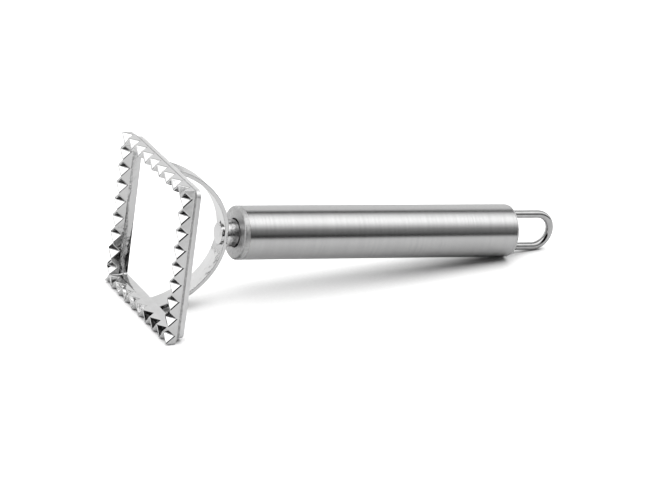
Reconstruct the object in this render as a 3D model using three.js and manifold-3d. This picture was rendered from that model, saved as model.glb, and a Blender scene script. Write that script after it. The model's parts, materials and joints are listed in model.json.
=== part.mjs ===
// A square pasta stamp cutter: a toothed square ring on an arched yoke, carried by a round tube handle
// that ends in a wire hanging loop. Millimetres. The tool is drawn in its own frame, with +X along the
// handle from the cutting edge to the loop, +Z up and x = 0 at the handle's front end. It is then laid
// down as it rests on a table.
import * as THREE from "three";
import { ConvexGeometry } from "three/addons/geometries/ConvexGeometry.js";
import { mergeVertices } from "three/addons/utils/BufferGeometryUtils.js";
import Module from "manifold-3d";

const wasm = await Module();
wasm.setup();

// Cutting ring
const RING_SIDE = 59;
const TEETH_PER_SIDE = 9;
const TOOTH_DEPTH = 3.15;
const EDGE_WIDTH = 3.75; // outer to inner side plane, across the teeth
const RIDGE_CUT = 0.45; // how much of the sharp ridge is ground off to leave a narrow land
const RING_DEPTH = 7.1;
const RING_FRONT_X = -35.8;
const FLANGE_BACK = 3.9; // depth where the toothed flange ends on the outside
const FLANGE_STEP = 1.6; // depth of the slope down to the back band
const BAND_INSET = 0.85;
const BAND_CORNER = 2.8;
const OPENING_INSET = 4.2;
const OPENING_SHOULDER = 3.4; // depth where the opening's shoulder starts
const OPENING_STEP = 0.45;

// The head, which is the ring and the yoke, droops a little on the handle.
const HEAD_LEAN = THREE.MathUtils.degToRad(-2.2);

// Yoke: an arched strip in the vertical mid-plane, half of an ellipse between its feet
const YOKE_CENTRE_X = -38.5;
const YOKE_REACH = 34.6; // half axis of the outer ellipse along the handle
const YOKE_HEIGHT = 28.8; // half axis of the outer ellipse across the handle
const YOKE_THICKNESS = 1.6;
const YOKE_WIDTH = 8.4;
const BOSS_RADIUS = 4;
const BOSS_FACE_X = -6.5;
const GUSSET_WIDTH = 2.8;
const GUSSET_REACH = 7.4; // tip of each gusset from the axis
const NECK_RADIUS = 5;
const NECK_END_X = 3;
const NECK_BORE_RADIUS = 3;
const NECK_BORE_BOTTOM_X = -2;

// Handle
const TUBE_RADIUS = 10;
const TUBE_WALL = 1;
const TUBE_END_X = 114.2;
const CAP_RIM = 2; // visible length of the front cap ahead of the tube
const CAP_EDGE_ROUND = 0.9;
const CAP_END_X = 9;
const SPIGOT_RADIUS = 8.7;
const CAP_POCKET_RADIUS = 5.4;
const CAP_POCKET_DEPTH = 3.4;
const SCREW_HOLE_RADIUS = 3.1;
const SEAM = 0.15; // between a cap and the tube's end
const REAR_CAP_RADIUS = 9.75;
const REAR_CAP_RIM = 0.35;
const REAR_DOME = 0.7;
const REAR_CAP_START_X = 110.4;

// Fastening inside the handle
const CLEARANCE = 0.35;
const SCREW_RADIUS = 2.65;
const SCREW_END_X = 15.5;
const WASHER_RADIUS = 5.6;
const WASHER_THICKNESS = 1;
const NUT_ACROSS_FLATS = 10;
const NUT_THICKNESS = 4;

// Hanging loop
const WIRE_RADIUS = 1.45;
const LOOP_HALF_SPACING = 6.6;
const LOOP_BEND_X = 127;
const WIRE_HEAD_RADIUS = 2.1;
const WIRE_HEAD_THICKNESS = 0.8;

// Curve resolution
const ROUND_SIDES = 40;
const WIRE_SIDES = 12;
const ARCH_SEGMENTS = 40;

const chrome = new THREE.MeshStandardMaterial({ color: 0xd9dbdd, metalness: 1, roughness: 0.12 });
const brushedSteel = new THREE.MeshStandardMaterial({ color: 0xb4b3b0, metalness: 1, roughness: 0.35 });
const blastedSteel = new THREE.MeshStandardMaterial({ color: 0x9d9c99, metalness: 1, roughness: 0.5 });
const brightWire = new THREE.MeshStandardMaterial({ color: 0xc4c4c2, metalness: 1, roughness: 0.15 });
const zincedSteel = new THREE.MeshStandardMaterial({ color: 0xa3a6a8, metalness: 1, roughness: 0.4 });

// --- Solids --------------------------------------------------------------------------------------

function solidFrom(geometry) {
  const bare = geometry.clone();
  bare.deleteAttribute("normal");
  bare.deleteAttribute("uv");
  const merged = mergeVertices(bare, 1e-4);
  const corners = merged.index.array;
  const kept = [];
  for (let i = 0; i < corners.length; i += 3) {
    const [a, b, c] = corners.subarray(i, i + 3);
    if (a !== b && b !== c && c !== a) kept.push(a, b, c);
  }
  return new wasm.Manifold(
    new wasm.Mesh({
      numProp: 3,
      vertProperties: merged.attributes.position.array,
      triVerts: new Uint32Array(kept),
    }),
  );
}

function geometryFrom(solid) {
  const mesh = solid.getMesh();
  const geometry = new THREE.BufferGeometry();
  geometry.setAttribute("position", new THREE.BufferAttribute(mesh.vertProperties, 3));
  geometry.setIndex(new THREE.BufferAttribute(mesh.triVerts, 1));
  return geometry;
}

// A solid of revolution about the handle axis, from [x, radius] points that run from the front end to
// the back.
function turned(profile, sides = ROUND_SIDES) {
  const points = profile.map(([x, radius]) => new THREE.Vector2(radius, x));
  return solidFrom(new THREE.LatheGeometry(points, sides).rotateZ(-Math.PI / 2));
}

function rod(radius, startX, endX, sides = ROUND_SIDES) {
  return turned([[startX, 0], [startX, radius], [endX, radius], [endX, 0]], sides);
}

function box(low, high) {
  const size = high.map((value, axis) => value - low[axis]);
  const middle = high.map((value, axis) => (value + low[axis]) / 2);
  return solidFrom(new THREE.BoxGeometry(...size).translate(...middle));
}

// --- Cutting ring --------------------------------------------------------------------------------

// The ring is a closed section carried round the square. Every loop of the section has one point at
// each half pitch, so that the zigzag edge and the straight walls share their stations.
const HALF_PITCHES = 2 * TEETH_PER_SIDE;

// How far a rounded corner's arc lies inside the straight side, at a distance along that side from the
// sharp corner.
function arcInset(distance, radius) {
  if (distance >= radius) return 0;
  return radius - Math.sqrt(radius ** 2 - (radius - distance) ** 2);
}

function ringLoop(inset, depthAt, corner = 0) {
  const half = RING_SIDE / 2 - inset;
  const points = [];
  for (let side = 0; side < 4; side++) {
    for (let step = 0; step < HALF_PITCHES; step++) {
      const station = -RING_SIDE / 2 + (step * RING_SIDE) / HALF_PITCHES;
      const along = THREE.MathUtils.clamp(station, -half, half);
      const atCorner = step === 0;
      const trim = atCorner ? corner * (1 - Math.SQRT1_2) : arcInset(half - Math.abs(along), corner);
      const point = new THREE.Vector3(
        RING_FRONT_X + depthAt(step),
        along + (atCorner ? trim : 0),
        -half + trim,
      );
      points.push(point.applyAxisAngle(new THREE.Vector3(1, 0, 0), (side * Math.PI) / 2));
    }
  }
  return points;
}

// Along the outer plane the edge peaks at the pitch lines, and along the inner plane half a pitch later.
const peaksOnPitch = (step) => (step % 2 === 0 ? -RIDGE_CUT : TOOTH_DEPTH);
const peaksBetween = (step) => (step % 2 === 1 || step === 0 ? -RIDGE_CUT : TOOTH_DEPTH);

function makeCutterRing() {
  const loops = [
    ringLoop(0, peaksOnPitch),
    ringLoop(0, () => FLANGE_BACK),
    ringLoop(BAND_INSET, () => FLANGE_BACK + FLANGE_STEP, BAND_CORNER),
    ringLoop(BAND_INSET, () => RING_DEPTH, BAND_CORNER),
    ringLoop(OPENING_INSET, () => RING_DEPTH),
    ringLoop(OPENING_INSET, () => OPENING_SHOULDER + OPENING_STEP),
    ringLoop(EDGE_WIDTH, () => OPENING_SHOULDER),
    ringLoop(EDGE_WIDTH, peaksBetween),
  ];
  const stations = 4 * HALF_PITCHES;
  const positions = [];
  const addTriangle = (...corners) => corners.forEach((corner) => positions.push(...corner.toArray()));
  loops.forEach((loop, row) => {
    const after = loops[(row + 1) % loops.length];
    const isToothFace = row === loops.length - 1;
    for (let i = 0; i < stations; i++) {
      const j = (i + 1) % stations;
      // On the tooth faces each quad folds along the ridge, which runs from a peak on one plane to one
      // on the other.
      const foldsFromFirst = isToothFace && i % 2 === 1;
      if (foldsFromFirst) {
        addTriangle(loop[i], after[j], after[i]);
        addTriangle(loop[i], loop[j], after[j]);
      } else {
        addTriangle(loop[i], loop[j], after[i]);
        addTriangle(loop[j], after[j], after[i]);
      }
    }
  });
  const geometry = new THREE.BufferGeometry();
  geometry.setAttribute("position", new THREE.Float32BufferAttribute(positions, 3));
  const half = RING_SIDE / 2 + 1;
  const groundOff = box([RING_FRONT_X - 2 * RIDGE_CUT, -half, -half], [RING_FRONT_X, half, half]);
  return solidFrom(geometry).subtract(groundOff);
}

// --- Yoke ----------------------------------------------------------------------------------------

const FOOT_X = RING_FRONT_X + RING_DEPTH + SEAM;

// Points of one face of the arch, from the lower foot to the upper one. inward is the distance inside
// the outer face.
function archPoints(inward) {
  const reach = YOKE_REACH - inward;
  const height = YOKE_HEIGHT - inward;
  const footAngle = Math.acos((FOOT_X - YOKE_CENTRE_X) / reach);
  const points = [];
  for (let i = 0; i <= ARCH_SEGMENTS; i++) {
    const angle = footAngle * ((2 * i) / ARCH_SEGMENTS - 1);
    points.push(new THREE.Vector2(YOKE_CENTRE_X + reach * Math.cos(angle), height * Math.sin(angle)));
  }
  return points;
}

function archSurfaceX(z, inward) {
  const across = z / (YOKE_HEIGHT - inward);
  return YOKE_CENTRE_X + (YOKE_REACH - inward) * Math.sqrt(1 - across * across);
}

function makeArch() {
  const outline = new THREE.Shape([...archPoints(0), ...archPoints(YOKE_THICKNESS).reverse()]);
  const strip = new THREE.ExtrudeGeometry(outline, { depth: YOKE_WIDTH, bevelEnabled: false });
  // The outline is drawn in x and y, so it is stood up to lie in x and z, and centred on the handle axis.
  strip.rotateX(Math.PI / 2).translate(0, YOKE_WIDTH / 2, 0);
  return solidFrom(strip);
}

// A small wedge that braces the boss on the inside of the arch, above it (up = 1) or below it (up = -1).
function makeGusset(up) {
  const rootZ = up * BOSS_RADIUS * 0.9;
  const tipZ = up * GUSSET_REACH;
  const insideX = archSurfaceX(tipZ, YOKE_THICKNESS / 2);
  const corners = [
    [BOSS_FACE_X + 0.15, 0, rootZ],
    [insideX + 1, GUSSET_WIDTH / 2, rootZ],
    [insideX + 1, -GUSSET_WIDTH / 2, rootZ],
    [insideX, 0, tipZ],
  ];
  return solidFrom(new ConvexGeometry(corners.map((corner) => new THREE.Vector3(...corner))));
}

function makeYoke() {
  const apexX = YOKE_CENTRE_X + YOKE_REACH;
  return makeArch()
    .add(rod(BOSS_RADIUS, BOSS_FACE_X, apexX - YOKE_THICKNESS / 2))
    .add(rod(NECK_RADIUS, apexX - YOKE_THICKNESS / 2, NECK_END_X))
    .add(makeGusset(1))
    .add(makeGusset(-1))
    .subtract(rod(NECK_BORE_RADIUS, NECK_BORE_BOTTOM_X, NECK_END_X + 1));
}

// --- Handle --------------------------------------------------------------------------------------

function makeFrontCap() {
  const edge = [];
  for (let i = 0; i <= 4; i++) {
    const angle = (i * Math.PI) / 8;
    edge.push([
      CAP_EDGE_ROUND * (1 - Math.sin(angle)),
      TUBE_RADIUS - CAP_EDGE_ROUND * (1 - Math.cos(angle)),
    ]);
  }
  return turned([
    [CAP_POCKET_DEPTH, SCREW_HOLE_RADIUS],
    [CAP_POCKET_DEPTH, CAP_POCKET_RADIUS],
    [0, CAP_POCKET_RADIUS],
    ...edge.reverse(),
    [CAP_RIM, TUBE_RADIUS],
    [CAP_RIM, SPIGOT_RADIUS],
    [CAP_END_X, SPIGOT_RADIUS],
    [CAP_END_X, SCREW_HOLE_RADIUS],
    [CAP_POCKET_DEPTH, SCREW_HOLE_RADIUS],
  ]);
}

function makeHandleTube() {
  const bore = TUBE_RADIUS - TUBE_WALL;
  const frontX = CAP_RIM + SEAM;
  return turned([
    [frontX, bore],
    [frontX, TUBE_RADIUS],
    [TUBE_END_X, TUBE_RADIUS],
    [TUBE_END_X, bore],
    [frontX, bore],
  ]);
}

function makeRearCap() {
  const rimX = TUBE_END_X + SEAM;
  const dome = [];
  const steps = 5;
  for (let i = 0; i <= steps; i++) {
    const share = i / steps;
    dome.push([rimX + REAR_CAP_RIM + REAR_DOME * (1 - (1 - share) ** 2), REAR_CAP_RADIUS * (1 - share)]);
  }
  const body = turned([
    [REAR_CAP_START_X, 0],
    [REAR_CAP_START_X, SPIGOT_RADIUS],
    [rimX, SPIGOT_RADIUS],
    [rimX, REAR_CAP_RADIUS],
    ...dome,
  ]);
  const hole = (z) => rod(WIRE_RADIUS + 0.25, REAR_CAP_START_X - 1, rimX + 3, 20).translate([0, 0, z]);
  return body.subtract(hole(LOOP_HALF_SPACING)).subtract(hole(-LOOP_HALF_SPACING));
}

// --- Fastening -----------------------------------------------------------------------------------

const WASHER_X = CAP_END_X + CLEARANCE;
const NUT_X = WASHER_X + WASHER_THICKNESS + CLEARANCE;

function makeNeckScrew() {
  return rod(SCREW_RADIUS, NECK_BORE_BOTTOM_X + CLEARANCE, SCREW_END_X, 24);
}

function makeLockWasher() {
  const hole = SCREW_RADIUS + CLEARANCE;
  const backX = WASHER_X + WASHER_THICKNESS;
  return turned([
    [WASHER_X, hole],
    [WASHER_X, WASHER_RADIUS],
    [backX, WASHER_RADIUS],
    [backX, hole],
    [WASHER_X, hole],
  ]);
}

function makeLockNut() {
  const cornerRadius = NUT_ACROSS_FLATS / Math.sqrt(3);
  const hexagon = rod(cornerRadius, NUT_X, NUT_X + NUT_THICKNESS, 6);
  return hexagon.subtract(rod(SCREW_RADIUS + CLEARANCE, NUT_X - 1, NUT_X + NUT_THICKNESS + 1, 24));
}

// --- Hanging loop --------------------------------------------------------------------------------

class LoopArc extends THREE.Curve {
  getPoint(t) {
    const angle = Math.PI * (0.5 - t);
    return new THREE.Vector3(
      LOOP_BEND_X + LOOP_HALF_SPACING * Math.cos(angle),
      0,
      LOOP_HALF_SPACING * Math.sin(angle),
    );
  }
}

function makeHangingLoop() {
  const legEndX = REAR_CAP_START_X - CLEARANCE - WIRE_HEAD_THICKNESS;
  const leg = (z) => rod(WIRE_RADIUS, legEndX, LOOP_BEND_X + 0.1, WIRE_SIDES).translate([0, 0, z]);
  const head = (z) =>
    rod(WIRE_HEAD_RADIUS, legEndX, legEndX + WIRE_HEAD_THICKNESS, WIRE_SIDES).translate([0, 0, z]);
  const section = new THREE.Shape().absarc(0, 0, WIRE_RADIUS, 0, 2 * Math.PI);
  const bend = new THREE.ExtrudeGeometry(section, {
    steps: 20,
    curveSegments: WIRE_SIDES,
    extrudePath: new LoopArc(),
  });
  return [LOOP_HALF_SPACING, -LOOP_HALF_SPACING].reduce(
    (wire, z) => wire.add(leg(z)).add(head(z)),
    solidFrom(bend),
  );
}

// --- Assembly ------------------------------------------------------------------------------------

const lying = new THREE.Group();

function addPart(name, solid, material, lean = 0) {
  const mesh = new THREE.Mesh(geometryFrom(solid).rotateY(lean), material);
  mesh.name = name;
  lying.add(mesh);
}

addPart("cutter_ring", makeCutterRing(), chrome, HEAD_LEAN);
addPart("yoke", makeYoke(), chrome, HEAD_LEAN);
addPart("neck_screw", makeNeckScrew(), zincedSteel);
addPart("front_cap", makeFrontCap(), blastedSteel);
addPart("lock_washer", makeLockWasher(), zincedSteel);
addPart("lock_nut", makeLockNut(), zincedSteel);
addPart("handle_tube", makeHandleTube(), brushedSteel);
addPart("rear_cap", makeRearCap(), blastedSteel);
addPart("hanging_loop", makeHangingLoop(), brightWire);

// The tool lies on the rear lower edge of the toothed flange and on the rear end of the handle tube.
const flangeEdge = new THREE.Vector3(RING_FRONT_X + FLANGE_BACK, 0, -RING_SIDE / 2);
flangeEdge.applyAxisAngle(new THREE.Vector3(0, 1, 0), HEAD_LEAN);
lying.rotation.y = Math.atan2(-flangeEdge.z - TUBE_RADIUS, TUBE_END_X - flangeEdge.x);

// The origin is under the middle of the lying tool's bounding box.
const bounds = new THREE.Box3().setFromObject(lying, true);
const middle = bounds.getCenter(new THREE.Vector3());
lying.position.set(-middle.x, -middle.y, -bounds.min.z);

const part = new THREE.Group();
part.add(lying);
export default part;
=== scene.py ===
"""The looks of a square pasta stamp cutter: chrome head, brushed tube handle, wire hanging loop."""

import json
import math

import bmesh
import bpy
from mathutils import Matrix, Vector
from mathutils.geometry import tessellate_polygon


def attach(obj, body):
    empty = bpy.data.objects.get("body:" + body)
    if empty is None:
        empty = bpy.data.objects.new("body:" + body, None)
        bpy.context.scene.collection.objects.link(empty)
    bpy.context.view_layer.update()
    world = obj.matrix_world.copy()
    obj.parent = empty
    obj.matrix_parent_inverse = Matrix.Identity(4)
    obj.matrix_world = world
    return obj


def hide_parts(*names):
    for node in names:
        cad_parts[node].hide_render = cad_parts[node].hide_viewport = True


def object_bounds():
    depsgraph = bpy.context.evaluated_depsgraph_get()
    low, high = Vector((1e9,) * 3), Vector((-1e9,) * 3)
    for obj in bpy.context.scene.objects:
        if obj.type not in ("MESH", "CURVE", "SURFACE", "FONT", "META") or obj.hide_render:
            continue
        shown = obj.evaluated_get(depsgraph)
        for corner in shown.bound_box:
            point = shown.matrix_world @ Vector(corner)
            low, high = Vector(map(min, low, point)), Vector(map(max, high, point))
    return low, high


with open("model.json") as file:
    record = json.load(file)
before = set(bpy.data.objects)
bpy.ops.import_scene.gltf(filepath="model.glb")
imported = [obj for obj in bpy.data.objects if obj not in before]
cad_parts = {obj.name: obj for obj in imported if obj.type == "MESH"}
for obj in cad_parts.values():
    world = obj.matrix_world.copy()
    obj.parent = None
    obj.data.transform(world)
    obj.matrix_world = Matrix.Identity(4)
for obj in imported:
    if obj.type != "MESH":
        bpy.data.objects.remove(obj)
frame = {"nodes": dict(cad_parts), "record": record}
cad_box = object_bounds()

MM = 0.001
TAU = 2 * math.pi

# --- The tool's own frames ------------------------------------------------------------------------
# Sizes below are in millimetres along the tool: x runs from the cutting edge to the loop with 0 at the
# handle's front end, y is across and z is up. The boss face's mount says where the head's frame lies.
# The head droops on the handle by HEAD_LEAN, about the middle of the handle's front end.
BOSS_FACE_X = -6.5
HEAD_LEAN = math.radians(-2.2)

mounts = {mount["name"]: mount for mount in frame["record"]["mounts"]}
boss_mount = mounts["boss_face"]
head_x = -Vector(boss_mount["axis"]).normalized()
head_tilt = math.atan2(-head_x.z, head_x.x)
handle_tilt = head_tilt - HEAD_LEAN
to_metres = Matrix.Scale(MM, 4)
tool_origin = Matrix.Translation(Vector(boss_mount["pos_m"]) - head_x * BOSS_FACE_X * MM)
HEAD_FRAME = tool_origin @ Matrix.Rotation(head_tilt, 4, "Y") @ to_metres
HANDLE_FRAME = tool_origin @ Matrix.Rotation(handle_tilt, 4, "Y") @ to_metres

# --- Driving dimensions, millimetres --------------------------------------------------------------
RING_SIDE = 59
TEETH_PER_SIDE = 9
TOOTH_DEPTH = 3.15
EDGE_WIDTH = 3.75
RIDGE_CUT = 0.45
RING_FRONT_X = -35.8
RING_DEPTH = 7.1
RING_BACK_X = RING_FRONT_X + RING_DEPTH
FLANGE_BACK = 3.9
FLANGE_SLOPE = 1.6
BAND_INSET = 0.85
BAND_CORNER = 2.8
OPENING_INSET = 4.2
OPENING_SHOULDER = 3.4
OPENING_SLOPE = 2
OPENING_CORNER = 0.6

YOKE_CENTRE_X = -38.5
YOKE_REACH = 34.6
YOKE_HEIGHT = 28.8
YOKE_THICKNESS = 1.6
YOKE_WIDTH = 8.4
YOKE_EDGE_ROUND = 0.24
YOKE_FOOT_SINK = 0.5
BOSS_RADIUS = 4
GUSSET_WIDTH = 2.8
GUSSET_REACH = 7.4
GUSSET_ROOT_SHARE = 0.9
GUSSET_SETBACK = 0.15
GUSSET_SINK = 1
NECK_RADIUS = 5
NECK_END_X = 3

TUBE_RADIUS = 10
TUBE_WALL = 1
TUBE_START_X = 2.03
TUBE_END_X = 114.2
CAP_END_X = 9
CAP_SEAM = 0.03
CAP_EDGE_ROUND = 0.9
CAP_POCKET_RADIUS = 5.4
CAP_POCKET_DEPTH = 3.4
SPIGOT_RADIUS = 8.7
SCREW_HOLE_RADIUS = 3.1
REAR_CAP_RADIUS = 9.75
REAR_CAP_START_X = 110.4
REAR_CAP_RIM_X = 114.7
REAR_CAP_SEAM = 0.02
REAR_DOME = 0.7

WIRE_RADIUS = 1.52
LOOP_HALF_SPACING = 6.6
LOOP_BEND_X = 127
LEG_START_X = 109.25
WIRE_HEAD_RADIUS = 2.1
WIRE_HEAD_THICKNESS = 0.8
WIRE_HEAD_OVERHANG = 0.01


# --- Camera ---------------------------------------------------------------------------------------
VIEW_AZIMUTH = math.radians(-26.05)
VIEW_ELEVATION = math.radians(23.86)
VIEW_ROLL = math.radians(2.38)
VIEW_DISTANCE = 1.248
VIEW_AIM = Vector((-0.018, -0.0156, 0.0237))
LENS_MM = 189.3
SENSOR_MM = 36


def make_camera():
    camera = bpy.data.objects.new("camera", bpy.data.cameras.new("camera"))
    bpy.context.scene.collection.objects.link(camera)
    camera.data.lens = LENS_MM
    camera.data.sensor_width = SENSOR_MM
    camera.data.clip_end = 20
    back = Vector((
        math.sin(VIEW_AZIMUTH) * math.cos(VIEW_ELEVATION),
        -math.cos(VIEW_AZIMUTH) * math.cos(VIEW_ELEVATION),
        math.sin(VIEW_ELEVATION),
    ))
    level_right = Vector((math.cos(VIEW_AZIMUTH), math.sin(VIEW_AZIMUTH), 0))
    right = Matrix.Rotation(VIEW_ROLL, 3, back) @ level_right
    pose = Matrix((right, back.cross(right), back)).transposed().to_4x4()
    pose.translation = VIEW_AIM + back * VIEW_DISTANCE
    camera.matrix_world = pose
    bpy.context.scene.camera = camera


# --- Node helpers ---------------------------------------------------------------------------------
class Nodes:
    """Adds nodes to a tree and links them, so that each material reads as a few lines."""

    def __init__(self, tree):
        self.tree = tree
        tree.nodes.clear()

    def add(self, kind, inputs=None, **settings):
        node = self.tree.nodes.new(kind)
        for name, value in settings.items():
            setattr(node, name, value)
        for name, value in (inputs or {}).items():
            if isinstance(value, bpy.types.NodeSocket):
                self.tree.links.new(value, node.inputs[name])
            else:
                node.inputs[name].default_value = value
        return node

    def math(self, operation, *values):
        return self.add("ShaderNodeMath", dict(enumerate(values)), operation=operation).outputs[0]

    def ramp(self, factor, stops):
        node = self.add("ShaderNodeValToRGB", {"Fac": factor})
        elements = node.color_ramp.elements
        while len(elements) < len(stops):
            elements.new(0.5)
        for element, (position, grey) in zip(elements, stops):
            element.position = position
            element.color = (grey, grey, grey, 1)
        return node.outputs["Color"]

    def noise(self, vector, scale, detail=2.0, roughness=0.5):
        inputs = {"Vector": vector, "Scale": scale, "Detail": detail, "Roughness": roughness}
        return self.add("ShaderNodeTexNoise", inputs).outputs["Fac"]

    def span(self, value, low, high):
        """Spreads a 0 to 1 value over low to high."""
        inputs = {"Value": value, "To Min": low, "To Max": high}
        return self.add("ShaderNodeMapRange", inputs).outputs["Result"]

    def bump(self, height, distance, strength=1.0, normal=None):
        inputs = {"Height": height, "Distance": distance, "Strength": strength}
        if normal is not None:
            inputs["Normal"] = normal
        return self.add("ShaderNodeBump", inputs).outputs["Normal"]

    def blend(self, share, start, end):
        """Mixes two colours. Inputs 6 and 7 of the node are its colours A and B, and output 2 the mix."""
        return self.add("ShaderNodeMix", {0: share, 6: start, 7: end}, data_type="RGBA").outputs[2]

    def mask(self, value, low, high, soft):
        """1 where a value in metres lies between low and high millimetres, with soft edges."""
        steps = []
        for edge in (low, high):
            inputs = {"Value": value, "From Min": (edge - soft) * MM, "From Max": (edge + soft) * MM}
            step = self.add("ShaderNodeMapRange", inputs, interpolation_type="SMOOTHSTEP")
            steps.append(step.outputs["Result"])
        return self.math("SUBTRACT", *steps)


def new_material(name):
    material = bpy.data.materials.new(name)
    material.use_nodes = True
    return material, Nodes(material.node_tree)


def finish_material(nodes, inputs):
    shader = nodes.add("ShaderNodeBsdfPrincipled", inputs)
    nodes.add("ShaderNodeOutputMaterial", {"Surface": shader.outputs["BSDF"]})


def tool_coordinates(nodes, place=HANDLE_FRAME):
    """Object coordinates, which are the world's, turned and moved into one of the tool's own frames."""
    from_world = (place @ Matrix.Scale(1 / MM, 4)).inverted()
    turn = nodes.add("ShaderNodeMapping", {"Vector": nodes.add("ShaderNodeTexCoord").outputs["Object"]})
    turn.inputs["Location"].default_value = from_world.translation
    turn.inputs["Rotation"].default_value = from_world.to_euler()
    return turn.outputs["Vector"]


# --- Materials ------------------------------------------------------------------------------------
# Where the chrome changes, in millimetres. The slope and the band start behind the flange.
SLOPE_START = 0.1
SLOPE_END = 1.3
BAND_PAST_BACK = 1
BAND_FADE = 0.12
OUTSIDE_DEPTH = 2
OUTSIDE_FADE = 0.2
NECK_START_X = -3.6
NECK_FAR_X = 10
NECK_FADE = 0.3
NECK_DULLNESS = 0.2
DULL_ROUGHNESS = 0.4


def make_chrome():
    """Bright chrome plate over a die casting: wavy, pitted, rougher behind the flange, rougher and darker
    on the neck, with painted shade and a painted brighter reflection behind the flange.
    """
    material, nodes = new_material("chrome_plate")
    place = tool_coordinates(nodes, HEAD_FRAME)
    parts = nodes.add("ShaderNodeSeparateXYZ", {"Vector": place}).outputs
    along = parts["X"]
    sideways = nodes.math("MAXIMUM", nodes.math("ABSOLUTE", parts["Y"]), nodes.math("ABSOLUTE", parts["Z"]))

    flange_x = RING_FRONT_X + FLANGE_BACK
    slope = nodes.mask(along, flange_x + SLOPE_START, flange_x + SLOPE_END, BAND_FADE)
    band = nodes.mask(along, flange_x + SLOPE_START, RING_BACK_X + BAND_PAST_BACK, BAND_FADE)
    outside = nodes.mask(sideways, RING_SIDE / 2 - OUTSIDE_DEPTH, RING_SIDE, OUTSIDE_FADE)
    neck = nodes.mask(along, NECK_START_X, NECK_FAR_X, NECK_FADE)
    on_band = nodes.math("MULTIPLY", band, outside)
    dull = nodes.math("MAXIMUM", on_band, nodes.math("MULTIPLY", neck, NECK_DULLNESS))
    # Painted shade: the slope in the step behind the flange, near the outside, gets the darker mottled
    # tone. The neck gets the same darker tone.
    dark = nodes.math("MAXIMUM", nodes.math("MULTIPLY", slope, outside), neck)

    waves = nodes.noise(place, 420, detail=1)
    pits = nodes.noise(place, 2600, detail=3)
    haze = nodes.noise(place, 160, detail=4)
    mottle = nodes.noise(place, 1300, detail=3, roughness=0.6)
    normal = nodes.bump(waves, 0.09 * MM)
    normal = nodes.bump(mottle, 0.025 * MM, 0.6, normal)
    normal = nodes.bump(pits, 0.01 * MM, 0.35, normal)
    normal = nodes.bump(mottle, 0.05 * MM, nodes.math("MULTIPLY", neck, 0.8), normal)
    bright = nodes.ramp(haze, [(0.3, 0.68), (0.7, 0.74)])
    # satin: the band's tone is lighter than the chrome's own, a painted brighter reflection; its higher
    # roughness comes from dull.
    satin = nodes.ramp(haze, [(0.3, 0.82), (0.7, 0.9)])
    darkened_tone = nodes.ramp(mottle, [(0.35, 0.3), (0.65, 0.62)])
    tone = nodes.blend(dark, nodes.blend(on_band, bright, satin), darkened_tone)
    polish = nodes.span(haze, 0.03, 0.09)
    finish_material(nodes, {
        "Base Color": tone,
        "Metallic": 1.0,
        "Roughness": nodes.math("ADD", polish, nodes.math("MULTIPLY", dull, DULL_ROUGHNESS)),
        "Normal": normal,
    })
    return material


def make_brushed_tube():
    """Stainless tube brushed round and round. U goes along the tube in metres and V once round it."""
    material, nodes = new_material("brushed_tube")
    unwrapped = nodes.add("ShaderNodeUVMap", uv_map="along_and_round").outputs["UV"]

    def lines(along, around, detail):
        stretch = nodes.add("ShaderNodeMapping", {"Vector": unwrapped})
        stretch.inputs["Scale"].default_value = (along, around, 1)
        return nodes.noise(stretch.outputs["Vector"], 1, detail=detail)

    fine = lines(9000, 5, 3)
    coarse = lines(1800, 2, 2)
    cloud = lines(60, 3, 3)
    normal = nodes.bump(fine, 0.008 * MM, 0.5)
    tone = nodes.math("ADD", nodes.math("MULTIPLY", fine, 0.6), nodes.math("MULTIPLY", coarse, 0.4))
    tangent = nodes.add("ShaderNodeTangent", direction_type="UV_MAP", uv_map="along_and_round")
    finish_material(nodes, {
        "Base Color": nodes.ramp(tone, [(0.25, 0.5), (0.75, 0.65)]),
        "Metallic": 1.0,
        "Roughness": nodes.span(cloud, 0.22, 0.27),
        "Anisotropic": 1.0,
        "Tangent": tangent.outputs["Tangent"],
        "Normal": normal,
    })
    return material


def make_satin_cap():
    """Blasted stainless: even, matt and faintly mottled."""
    material, nodes = new_material("satin_cap")
    place = tool_coordinates(nodes)
    mottle = nodes.noise(place, 900, detail=4, roughness=0.7)
    grain = nodes.noise(place, 5200, detail=3)
    finish_material(nodes, {
        "Base Color": nodes.ramp(mottle, [(0.3, 0.46), (0.7, 0.74)]),
        "Metallic": 1.0,
        "Roughness": nodes.span(mottle, 0.4, 0.55),
        "Normal": nodes.bump(grain, 0.02 * MM, 0.5),
    })
    return material


def make_polished_wire():
    """Drawn and polished stainless wire with faint lines along it."""
    material, nodes = new_material("polished_wire")
    place = tool_coordinates(nodes)
    stretch = nodes.add("ShaderNodeMapping", {"Vector": place})
    stretch.inputs["Scale"].default_value = (0.15, 1, 1)
    lines = nodes.noise(stretch.outputs["Vector"], 3200, detail=2)
    haze = nodes.noise(place, 500, detail=3)
    finish_material(nodes, {
        "Base Color": nodes.ramp(haze, [(0.3, 0.46), (0.7, 0.54)]),
        "Metallic": 1.0,
        "Roughness": nodes.span(haze, 0.06, 0.14),
        "Normal": nodes.bump(lines, 0.006 * MM, 0.3),
    })
    return material


def make_zinc_plate():
    """Zinc-plated fastener steel, with a cloudy tone."""
    material, nodes = new_material("zinc_plate")
    place = tool_coordinates(nodes)
    cloud = nodes.noise(place, 700, detail=4, roughness=0.6)
    finish_material(nodes, {
        "Base Color": nodes.ramp(cloud, [(0.3, 0.5), (0.7, 0.62)]),
        "Metallic": 1.0,
        "Roughness": nodes.span(cloud, 0.28, 0.45),
        "Normal": nodes.bump(cloud, 0.02 * MM, 0.4),
    })
    return material


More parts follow.
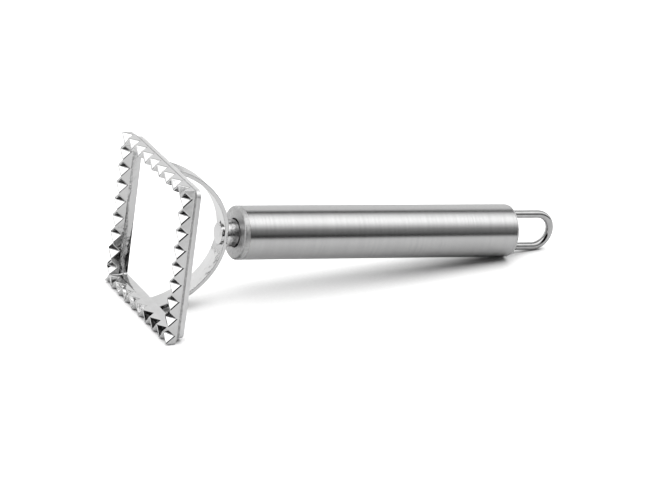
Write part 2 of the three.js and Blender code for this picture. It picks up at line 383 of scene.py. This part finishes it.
def make_floor_material():
    material, nodes = new_material("pale_floor")
    place = nodes.add("ShaderNodeTexCoord").outputs["Object"]
    grain = nodes.noise(place, 900, detail=2)
    finish_material(nodes, {
        "Base Color": nodes.ramp(grain, [(0.3, 0.47), (0.7, 0.49)]),
        "Roughness": 0.9,
        "Specular IOR Level": 0.1,
    })
    return material


# --- Mesh helpers ---------------------------------------------------------------------------------
SMOOTH_ANGLE = math.radians(32)
ON_AXIS = 1e-6


def finish_piece(name, mesh_builder, material, replaced, place=HANDLE_FRAME):
    """Turns a bmesh in tool millimetres into a piece that rides on the root body."""
    mesh_builder.transform(place)
    bmesh.ops.recalc_face_normals(mesh_builder, faces=mesh_builder.faces)
    mesh = bpy.data.meshes.new(name)
    mesh_builder.to_mesh(mesh)
    mesh_builder.free()
    mesh.shade_smooth()
    mesh.set_sharp_from_angle(angle=SMOOTH_ANGLE)
    mesh.materials.append(material)
    piece = bpy.data.objects.new(name, mesh)
    bpy.context.scene.collection.objects.link(piece)
    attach(piece, "root")
    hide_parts(*replaced)
    return piece


def keep_flats_flat(piece):
    """Lets the big faces set the shading, so that a flat beside a rounded edge doesn't look bent."""
    shading = piece.modifiers.new("flat_faces", "WEIGHTED_NORMAL")
    shading.keep_sharp = True
    shading.weight = 100


def rounded_profile(corners, steps=5):
    """A profile from (x, radius, rounding) corners, each rounded corner turned into an arc."""
    points = []
    for i, (x, radius, rounding) in enumerate(corners):
        here = Vector((x, radius))
        if not rounding:
            points.append(here)
            continue
        before = (Vector(corners[i - 1][:2]) - here).normalized()
        after = (Vector(corners[(i + 1) % len(corners)][:2]) - here).normalized()
        half_angle = before.angle(after) / 2
        centre = here + (before + after).normalized() * rounding / math.sin(half_angle)
        start = (here + before * rounding / math.tan(half_angle) - centre).normalized()
        end = (here + after * rounding / math.tan(half_angle) - centre).normalized()
        points += [centre + start.slerp(end, step / steps) * rounding for step in range(steps + 1)]
    return points


def lathe(profile, segments=96, with_uv=False):
    """A bmesh turned about the tool's x axis. A profile that ends off the axis closes on itself."""
    builder = bmesh.new()
    closed = profile[0].y > 0 or profile[-1].y > 0
    rings = []
    for x, radius in profile:
        if radius < ON_AXIS:
            rings.append([builder.verts.new((x, 0, 0))])
            continue
        rings.append([
            builder.verts.new((x, radius * math.sin(turn), radius * math.cos(turn)))
            for turn in (TAU * i / segments for i in range(segments))
        ])
    uv_layer = builder.loops.layers.uv.new("along_and_round") if with_uv else None
    pairs = list(zip(rings, rings[1:]))
    if closed:
        pairs.append((rings[-1], rings[0]))
    for ring_a, ring_b in pairs:
        for i in range(segments):
            j = (i + 1) % segments
            corners = [
                ring_a[i % len(ring_a)], ring_a[j % len(ring_a)],
                ring_b[j % len(ring_b)], ring_b[i % len(ring_b)],
            ]
            turns = [i, i + 1, i + 1, i]
            unique = list(dict.fromkeys(corners))
            if len(unique) < 3:
                continue
            face = builder.faces.new(unique)
            if uv_layer:
                for loop in face.loops:
                    turn = turns[corners.index(loop.vert)]
                    loop[uv_layer].uv = (loop.vert.co.x * MM, turn / segments)
    return builder


def sweep(centres, frames, section):
    """A bmesh of a closed section of 2D points carried along centres, each with two cross directions."""
    builder = bmesh.new()
    rings = []
    for centre, (side, up) in zip(centres, frames):
        rings.append([builder.verts.new(centre + side * a + up * b) for a, b in section])
    count = len(section)
    for ring_a, ring_b in zip(rings, rings[1:]):
        for i in range(count):
            j = (i + 1) % count
            builder.faces.new((ring_a[i], ring_a[j], ring_b[j], ring_b[i]))
    builder.faces.new(rings[0])
    builder.faces.new(rings[-1])
    return builder


def rounded_rectangle(width, height, radius, steps=4):
    """Points round a rectangle with rounded corners, centred on 0."""
    points = []
    for quarter in range(4):
        sign_a = 1 if quarter in (0, 3) else -1
        sign_b = 1 if quarter in (0, 1) else -1
        for step in range(steps + 1):
            turn = (quarter + step / steps) * TAU / 4
            points.append((
                sign_a * (width / 2 - radius) + radius * math.cos(turn),
                sign_b * (height / 2 - radius) + radius * math.sin(turn),
            ))
    return points


def join(*builders):
    """One bmesh that holds the shells of several."""
    whole = bmesh.new()
    for builder in builders:
        mesh = bpy.data.meshes.new("joining")
        builder.to_mesh(mesh)
        builder.free()
        whole.from_mesh(mesh)
        bpy.data.meshes.remove(mesh)
    return whole


# --- Head -----------------------------------------------------------------------------------------
HALF_PITCHES = 2 * TEETH_PER_SIDE
SAME_POINT = 0.001
FLAT_ANGLE = math.radians(1)

CAST_EDGE = 0.3
INNER_EDGE_SHARE = 0.6
EDGE_ANGLE = math.radians(12)

# The band overlaps the toothed part from behind, steps in after a narrow lip and has rounded rims.
BAND_RIM = 0.28
BAND_RIM_STEPS = 4
BAND_OVERLAP = 0.2
BAND_ROOT_INSET = 0.6
BAND_LIP_INSET = 0.1
BAND_LIP = 0.02


def toothed_loop(inset, depth_at):
    """A loop round the square with a point at every half pitch, depth_at(step) behind the front."""
    half = RING_SIDE / 2 - inset
    points = []
    for side in range(4):
        turn = Matrix.Rotation(side * TAU / 4, 3, "X")
        for step in range(HALF_PITCHES):
            along = (step / HALF_PITCHES - 0.5) * RING_SIDE
            along = min(max(along, -half), half)
            points.append(turn @ Vector((RING_FRONT_X + depth_at(step), along, -half)))
    return points


def outer_edge_depth(step):
    """The outer plane's edge peaks on the pitch lines."""
    return -RIDGE_CUT if step % 2 == 0 else TOOTH_DEPTH


def inner_edge_depth(step):
    """The inner plane's edge peaks half a pitch later, and at the corners."""
    return -RIDGE_CUT if step % 2 == 1 or step == 0 else TOOTH_DEPTH


def fill_between_rims(builder):
    """Closes the flat ring-shaped gap between the open edges of a mesh.

    The open edges are in a list, because the order of a set of them changes from run to run.
    """
    open_edges = [edge for edge in builder.edges if edge.is_boundary]
    rims = []
    while open_edges:
        edge = open_edges.pop()
        start, vert = edge.verts
        rim = [start]
        while vert is not start:
            rim.append(vert)
            edge = next(edge for edge in vert.link_edges if edge in open_edges)
            open_edges.remove(edge)
            vert = edge.other_vert(vert)
        rims.append(rim)
    verts = [vert for rim in rims for vert in rim]
    for corners in tessellate_polygon([[vert.co for vert in rim] for rim in rims]):
        builder.faces.new([verts[corner] for corner in corners])


def make_toothed_edge():
    """The front part of the ring. Each tooth face folds along the ridge from an outer to an inner peak."""
    loops = [
        toothed_loop(0, outer_edge_depth),
        toothed_loop(0, lambda step: FLANGE_BACK),
        toothed_loop(EDGE_WIDTH, lambda step: FLANGE_BACK),
        toothed_loop(EDGE_WIDTH, inner_edge_depth),
    ]
    builder = bmesh.new()
    rows = [[builder.verts.new(point) for point in loop] for loop in loops]
    stations = 4 * HALF_PITCHES
    for index, row in enumerate(rows):
        after = rows[(index + 1) % len(rows)]
        for i in range(stations):
            j = (i + 1) % stations
            if row is not rows[-1]:
                builder.faces.new((row[i], row[j], after[j], after[i]))
            elif i % 2 == 1:
                builder.faces.new((row[i], after[j], after[i]))
                builder.faces.new((row[i], row[j], after[j]))
            else:
                builder.faces.new((row[i], row[j], after[i]))
                builder.faces.new((row[j], after[j], after[i]))
    bmesh.ops.remove_doubles(builder, verts=builder.verts, dist=SAME_POINT)
    bmesh.ops.recalc_face_normals(builder, faces=builder.faces)
    everything = builder.verts[:] + builder.edges[:] + builder.faces[:]
    bmesh.ops.bisect_plane(
        builder, geom=everything, plane_co=(RING_FRONT_X, 0, 0), plane_no=(-1, 0, 0), clear_outer=True)
    fill_between_rims(builder)
    bmesh.ops.dissolve_limit(builder, angle_limit=FLAT_ANGLE, verts=builder.verts, edges=builder.edges)
    bmesh.ops.recalc_face_normals(builder, faces=builder.faces)
    return builder


def make_ring_band():
    """The back of the ring: the band and the opening's wall, as loops of (inset, depth, corner radius)."""
    front = FLANGE_BACK - BAND_OVERLAP
    profile = [
        (BAND_ROOT_INSET, front, BAND_CORNER),
        (BAND_LIP_INSET, front, BAND_CORNER / 2),
        (BAND_LIP_INSET, FLANGE_BACK + BAND_LIP, BAND_CORNER / 2),
        (BAND_INSET, FLANGE_BACK + FLANGE_SLOPE, BAND_CORNER),
    ]
    turns = [TAU / 4 * step / BAND_RIM_STEPS for step in range(BAND_RIM_STEPS + 1)]
    for turn in turns:
        inset = BAND_INSET + BAND_RIM * (1 - math.cos(turn))
        depth = RING_DEPTH - BAND_RIM * (1 - math.sin(turn))
        profile.append((inset, depth, BAND_CORNER))
    for turn in turns:
        inset = OPENING_INSET - BAND_RIM * (1 - math.sin(turn))
        depth = RING_DEPTH - BAND_RIM * (1 - math.cos(turn))
        profile.append((inset, depth, OPENING_CORNER))
    profile.append((OPENING_INSET, OPENING_SHOULDER + OPENING_SLOPE, OPENING_CORNER))
    profile.append((EDGE_WIDTH - 0.05, OPENING_SHOULDER, 0.1))
    builder = bmesh.new()
    rows = []
    for inset, depth, corner in profile:
        x = RING_FRONT_X + depth
        side = 2 * (RING_SIDE / 2 - inset)
        outline = rounded_rectangle(side, side, corner, steps=8)
        rows.append([builder.verts.new((x, y, z)) for y, z in outline])
    for index, row in enumerate(rows):
        after = rows[(index + 1) % len(rows)]
        for i in range(len(row)):
            j = (i + 1) % len(row)
            builder.faces.new((row[i], row[j], after[j], after[i]))
    bmesh.ops.recalc_face_normals(builder, faces=builder.faces)
    return builder


def weigh_cast_edges(builder):
    """Gives the teeth's edges on the ring's outside the full cast radius and other sharp edges less."""
    weights = builder.edges.layers.float.new("bevel_weight_edge")
    outside = RING_SIDE / 2 - 0.01
    for edge in builder.edges:
        if len(edge.link_faces) != 2 or edge.calc_face_angle(0) < EDGE_ANGLE:
            continue
        on_outer_plane = all(max(abs(vert.co.y), abs(vert.co.z)) > outside for vert in edge.verts)
        along_teeth = all(vert.co.x < RING_FRONT_X + TOOTH_DEPTH + 0.1 for vert in edge.verts)
        along_handle = abs((edge.verts[0].co - edge.verts[1].co).normalized().x) > 0.99
        is_tooth_edge = on_outer_plane and along_teeth and not along_handle
        edge[weights] = 1.0 if is_tooth_edge else INNER_EDGE_SHARE


def make_cutter_ring(material):
    teeth = make_toothed_edge()
    weigh_cast_edges(teeth)
    whole = join(teeth, make_ring_band())
    ring = finish_piece("toothed_ring", whole, material, ["cutter_ring"], HEAD_FRAME)
    bevel = ring.modifiers.new("cast_edges", "BEVEL")
    bevel.width = CAST_EDGE * MM
    bevel.segments = 3
    bevel.limit_method = "WEIGHT"
    bevel.use_clamp_overlap = False
    return ring


def arch_point(angle, inward):
    """A point on the arch's ellipse, inward of its outside."""
    reach = YOKE_REACH - inward
    height = YOKE_HEIGHT - inward
    return Vector((YOKE_CENTRE_X + reach * math.cos(angle), 0, height * math.sin(angle)))


def make_yoke(material):
    middle = YOKE_THICKNESS / 2
    foot_x = RING_BACK_X - YOKE_FOOT_SINK
    foot_angle = math.acos((foot_x - YOKE_CENTRE_X) / (YOKE_REACH - middle))
    steps = 96
    centres = []
    frames = []
    for i in range(steps + 1):
        angle = foot_angle * (2 * i / steps - 1)
        centres.append(arch_point(angle, middle))
        outward = Vector((
            (YOKE_HEIGHT - middle) * math.cos(angle), 0, (YOKE_REACH - middle) * math.sin(angle),
        )).normalized()
        frames.append((Vector((0, 1, 0)), outward))
    strip = sweep(centres, frames, rounded_rectangle(YOKE_WIDTH, YOKE_THICKNESS, YOKE_EDGE_ROUND))

    apex_x = YOKE_CENTRE_X + YOKE_REACH
    inside_x = apex_x - middle
    boss = lathe(rounded_profile([
        (BOSS_FACE_X, 0, 0),
        (BOSS_FACE_X, BOSS_RADIUS, 0.3),
        (inside_x, BOSS_RADIUS, 0),
        (inside_x, 0, 0),
    ]), 72)
    neck = lathe(rounded_profile([
        (inside_x, 0, 0),
        (inside_x, NECK_RADIUS, 0.35),
        (NECK_END_X, NECK_RADIUS, 0.5),
        (NECK_END_X, 0, 0),
    ]), 72)
    gussets = [make_gusset(up, middle) for up in (1, -1)]
    return finish_piece(
        "yoke_casting", join(strip, boss, neck, *gussets), material, ["yoke"], HEAD_FRAME)


def make_gusset(up, middle):
    """A small wedge that braces the boss, above it (up = 1) or below it (up = -1)."""
    tip_angle = math.asin(up * GUSSET_REACH / YOKE_HEIGHT)
    tip = arch_point(tip_angle, middle)
    root_z = up * BOSS_RADIUS * GUSSET_ROOT_SHARE
    corners = [
        Vector((BOSS_FACE_X + GUSSET_SETBACK, 0, root_z)),
        Vector((tip.x + GUSSET_SINK, GUSSET_WIDTH / 2, root_z)),
        Vector((tip.x + GUSSET_SINK, -GUSSET_WIDTH / 2, root_z)),
        tip,
    ]
    builder = bmesh.new()
    top, left, right, end = [builder.verts.new(corner) for corner in corners]
    for face in ((top, left, right), (top, end, left), (top, right, end), (left, end, right)):
        builder.faces.new(face)
    return builder


# --- Handle ---------------------------------------------------------------------------------------
def make_handle_tube(material):
    bore = TUBE_RADIUS - TUBE_WALL
    profile = rounded_profile([
        (TUBE_START_X, bore, 0),
        (TUBE_START_X, TUBE_RADIUS, 0.15),
        (TUBE_END_X, TUBE_RADIUS, 0.3),
        (TUBE_END_X, bore, 0.1),
    ])
    return finish_piece(
        "brushed_handle_tube", lathe(profile, 160, with_uv=True), material, ["handle_tube"])


def make_front_cap(material):
    profile = rounded_profile([
        (CAP_POCKET_DEPTH, SCREW_HOLE_RADIUS, 0),
        (CAP_POCKET_DEPTH, CAP_POCKET_RADIUS, 0.2),
        (0, CAP_POCKET_RADIUS, 0.2),
        (0, TUBE_RADIUS, CAP_EDGE_ROUND),
        (TUBE_START_X - CAP_SEAM, TUBE_RADIUS, 0),
        (TUBE_START_X - CAP_SEAM, SPIGOT_RADIUS, 0),
        (CAP_END_X, SPIGOT_RADIUS, 0.4),
        (CAP_END_X, SCREW_HOLE_RADIUS, 0.2),
    ])
    return finish_piece("satin_front_cap", lathe(profile, 128), material, ["front_cap"])


def make_rear_cap(material):
    rim_x = TUBE_END_X + REAR_CAP_SEAM
    profile = [Vector((REAR_CAP_START_X, 0)), Vector((REAR_CAP_START_X, SPIGOT_RADIUS))]
    profile += [Vector((rim_x, SPIGOT_RADIUS)), Vector((rim_x, REAR_CAP_RADIUS))]
    steps = 16
    for i in range(steps + 1):
        share = i / steps
        profile.append(Vector((
            REAR_CAP_RIM_X + REAR_DOME * (1 - (1 - share) ** 2), REAR_CAP_RADIUS * (1 - share),
        )))
    return finish_piece("domed_rear_cap", lathe(profile, 128), material, ["rear_cap"])


# --- Hanging loop ---------------------------------------------------------------------------------
def make_hanging_loop(material):
    centres = []
    frames = []
    across = Vector((0, 1, 0))
    leg_steps = 12
    leg = [LEG_START_X + (LOOP_BEND_X - LEG_START_X) * i / leg_steps for i in range(leg_steps)]
    for x in leg:
        centres.append(Vector((x, 0, LOOP_HALF_SPACING)))
        frames.append((across, Vector((0, 0, 1))))
    bend_steps = 48
    for i in range(bend_steps + 1):
        angle = math.pi * (0.5 - i / bend_steps)
        outward = Vector((math.cos(angle), 0, math.sin(angle)))
        centres.append(Vector((LOOP_BEND_X, 0, 0)) + outward * LOOP_HALF_SPACING)
        frames.append((across, outward))
    for x in reversed(leg):
        centres.append(Vector((x, 0, -LOOP_HALF_SPACING)))
        frames.append((across, Vector((0, 0, -1))))
    sides = 32
    section = [
        (WIRE_RADIUS * math.cos(turn), WIRE_RADIUS * math.sin(turn))
        for turn in (TAU * i / sides for i in range(sides))
    ]
    wire = sweep(centres, frames, section)
    heads = []
    for z in (LOOP_HALF_SPACING, -LOOP_HALF_SPACING):
        head = lathe(rounded_profile([
            (LEG_START_X - WIRE_HEAD_OVERHANG, 0, 0),
            (LEG_START_X - WIRE_HEAD_OVERHANG, WIRE_HEAD_RADIUS, 0.3),
            (LEG_START_X + WIRE_HEAD_THICKNESS, WIRE_HEAD_RADIUS, 0.2),
            (LEG_START_X + WIRE_HEAD_THICKNESS, 0, 0),
        ]), 32)
        bmesh.ops.translate(head, verts=head.verts, vec=(0, 0, z))
        heads.append(head)
    return finish_piece("bent_wire_loop", join(wire, *heads), material, ["hanging_loop"])


# --- Studio ---------------------------------------------------------------------------------------
# The sky is a function of the angle about the world's x axis: 0 at the horizon on the camera's side, 0.5
# straight up and 1 at the horizon behind. A broad softbox hangs overhead, a pale wall stands behind the
# table, with a dark slot between them, and the room in front is dark.
SKY_STOPS = [
    (0.0, 0.0),
    (0.02, 0.04),
    (0.04, 0.16),
    (0.09, 0.26),
    (0.16, 0.4),
    (0.24, 0.88),
    (0.33, 1.5),
    (0.41, 1.7),
    (0.5, 1.42),
    (0.58, 0.85),
    (0.625, 0.0),
    (0.685, 0.0),
    (0.71, 0.86),
    (1.0, 0.9),
]

# The darkest part of the room lies a little to the left of the camera and below it.
DARK_DOORWAY = Vector((-0.52, -0.82, 0.22)).normalized()
DOORWAY_DARK = math.radians(30)
DOORWAY_EDGE = math.radians(44)
DOORWAY_LEFT_OVER = 0.02

# The whole sky is brighter towards the left, between these two values of the direction's x.
BRIGHTENS_FROM_X = 0.15
BRIGHTEST_AT_X = -0.25
LEFT_BRIGHTER = 1.18


def make_world():
    world = bpy.data.worlds.new("studio")
    bpy.context.scene.world = world
    world.use_nodes = True
    nodes = Nodes(world.node_tree)
    direction = nodes.add("ShaderNodeTexCoord").outputs["Generated"]
    parts = nodes.add("ShaderNodeSeparateXYZ", {"Vector": direction})
    angle = nodes.math("ARCTAN2", parts.outputs["Z"], nodes.math("MULTIPLY", parts.outputs["Y"], -1))
    around = nodes.math("DIVIDE", angle, math.pi)
    brightest = max(value for place, value in SKY_STOPS)
    sky = nodes.ramp(around, [(place, value / brightest) for place, value in SKY_STOPS])
    towards = nodes.add("ShaderNodeVectorMath", {0: direction, 1: DARK_DOORWAY}, operation="DOT_PRODUCT")
    doorway = nodes.ramp(towards.outputs["Value"], [
        (math.cos(DOORWAY_EDGE), 1), (math.cos(DOORWAY_DARK), DOORWAY_LEFT_OVER),
    ])
    leftward = nodes.add("ShaderNodeMapRange", {
        "Value": parts.outputs["X"],
        "From Min": BRIGHTENS_FROM_X,
        "From Max": BRIGHTEST_AT_X,
        "To Min": brightest,
        "To Max": brightest * LEFT_BRIGHTER,
    })
    strength = nodes.math("MULTIPLY", doorway, leftward.outputs["Result"])
    shader = nodes.add("ShaderNodeBackground", {"Color": sky, "Strength": strength})
    nodes.add("ShaderNodeOutputWorld", {"Surface": shader.outputs["Background"]})


FLOOR_HALF_SIDE = 6
TABLE_DROP = 0.0001
PATCH_DROP = 0.00005
CARD_DROP = 0.00002
# The painted pool of light on the reflected patch: its reach in front of and behind the tool in metres, and
# how fast it fades to the sides.
LIT_REACH = 0.6
LIT_BEHIND = 0.12
SIDEWAYS_FADE = 0.4


def make_flat_piece(name, half_side, height, material):
    builder = bmesh.new()
    bmesh.ops.create_grid(builder, x_segments=8, y_segments=8, size=half_side)
    mesh = bpy.data.meshes.new(name)
    builder.to_mesh(mesh)
    builder.free()
    mesh.materials.append(material)
    flat = bpy.data.objects.new(name, mesh)
    flat.location.z = height
    bpy.context.scene.collection.objects.link(flat)
    return flat


def make_painted_light_patch_material():
    """The table as the metal shows it, with a painted pool of light: brightest about the tool, darker
    towards the viewer and to the sides.
    """
    material, nodes = new_material("painted_light_patch")
    place = nodes.add("ShaderNodeTexCoord").outputs["Object"]
    parts = nodes.add("ShaderNodeSeparateXYZ", {"Vector": place}).outputs
    sideways = nodes.math("MULTIPLY", nodes.math("ABSOLUTE", parts["X"]), SIDEWAYS_FADE)
    away = nodes.math("SUBTRACT", sideways, parts["Y"])
    share = nodes.math("DIVIDE", nodes.math("ADD", away, LIT_BEHIND), LIT_REACH + LIT_BEHIND)
    finish_material(nodes, {
        "Base Color": nodes.ramp(share, [
            (0.0, 0.23), (0.09, 0.25), (0.15, 0.3), (0.2, 0.26), (0.33, 0.24),
            (0.37, 0.2), (0.46, 0.11), (0.6, 0.03), (0.8, 0.0),
        ]),
        "Roughness": 1.0,
        "Specular IOR Level": 0.0,
    })
    return material


# Cards that show only in the metal, as painted reflections: middle, half sizes and tilt, in metres. The
# dark ones are
# painted shade in the metal: the first two lie low in front of the ring, one for each upright side, and the
# third lies on the table behind the ring. The blotchy ones, painted blotchy reflections in the teeth, hang
# in the air off in front of the head.
LEVEL = (0, 0, 0)
PAINTED_SHADE_CARDS = [
    ((-0.091, -0.0175, 0.008), (0.0065, 0.011), LEVEL),
    ((-0.091, 0.0385, 0.008), (0.0065, 0.011), LEVEL),
    ((-0.069, 0.003, 0), (0.012, 0.018), LEVEL),
]
FACING_THE_HEAD = (0, math.radians(-48.4), math.radians(21.7))
# Painted reflections: mottled dark and light cards that the teeth mirror.
PAINTED_REFLECTION_CARDS = [
    ((-0.502, -0.171, 0.401), (0.045, 0.052), FACING_THE_HEAD),
    ((-0.456, -0.188, 0.442), (0.01, 0.022), FACING_THE_HEAD),
]


def make_card_material(name, scale, stops):
    material, nodes = new_material(name)
    blotches = nodes.noise(nodes.add("ShaderNodeTexCoord").outputs["Object"], scale, detail=3)
    finish_material(nodes, {
        "Base Color": nodes.ramp(blotches, stops),
        "Roughness": 1.0,
        "Specular IOR Level": 0.0,
    })
    return material


def make_floors():
    """The table as the eye sees it, and the patch with a painted pool of light and the cards of painted
    shade and reflections that show only in the metal.
    """
    lowest = cad_box[0][2]
    table = make_flat_piece("floor", FLOOR_HALF_SIDE, lowest - TABLE_DROP, make_floor_material())
    table.visible_glossy = False
    patch = make_flat_piece("painted_light_patch", FLOOR_HALF_SIDE, lowest - PATCH_DROP, make_painted_light_patch_material())
    # Painted shade cards: near black with grey blotches, seen only as reflections.
    dark = make_card_material("painted_shade_card", 6, [(0.53, 0.003), (0.75, 0.22)])
    # Painted reflection cards: blotches from near black to mid grey, seen only in the metal.
    painted_reflection_material = make_card_material("painted_reflection_card", 9, [(0.49, 0.01), (0.6, 0.6)])
    cards = []
    for material, places in ((dark, PAINTED_SHADE_CARDS), (painted_reflection_material, PAINTED_REFLECTION_CARDS)):
        for middle, half_sizes, tilt in places:
            card = make_flat_piece("card", 1, lowest - CARD_DROP, material)
            card.location += Vector(middle)
            card.scale = (*half_sizes, 1)
            card.rotation_euler = tilt
            cards.append(card)
    for reflected_only in (patch, *cards):
        reflected_only.visible_camera = False
        reflected_only.visible_diffuse = False
        reflected_only.visible_shadow = False
        reflected_only.visible_transmission = False


LAMP_SIZE = 4
LAMP_DISTANCE = 1.6
LAMP_SIDEWAYS = 0.02
LAMP_LEAN = math.radians(14)
LAMP_WATTS = 195


def make_overhead_lamp():
    """A broad lamp a little behind the vertical, which lays a soft shadow and leaves no highlight."""
    lamp = bpy.data.objects.new("overhead_lamp", bpy.data.lights.new("overhead_lamp", "AREA"))
    lamp.data.shape = "RECTANGLE"
    lamp.data.size = LAMP_SIZE
    lamp.data.size_y = LAMP_SIZE
    lamp.data.energy = LAMP_WATTS
    lamp.location = Vector((LAMP_SIDEWAYS, math.sin(LAMP_LEAN), math.cos(LAMP_LEAN))) * LAMP_DISTANCE
    lamp.rotation_euler = (-LAMP_LEAN, 0, 0)
    lamp.visible_glossy = False
    bpy.context.scene.collection.objects.link(lamp)


make_camera()
make_world()
make_floors()
make_overhead_lamp()

chrome = make_chrome()
satin = make_satin_cap()
zinc = make_zinc_plate()

for piece in (
    make_cutter_ring(chrome),
    make_yoke(chrome),
    make_front_cap(satin),
    make_handle_tube(make_brushed_tube()),
    make_rear_cap(satin),
    make_hanging_loop(make_polished_wire()),
):
    keep_flats_flat(piece)

for name in ("neck_screw", "lock_washer", "lock_nut"):
    fastener = frame["nodes"][name]
    fastener.data.materials.clear()
    fastener.data.materials.append(zinc)

bpy.context.scene.view_settings.view_transform = "Standard"
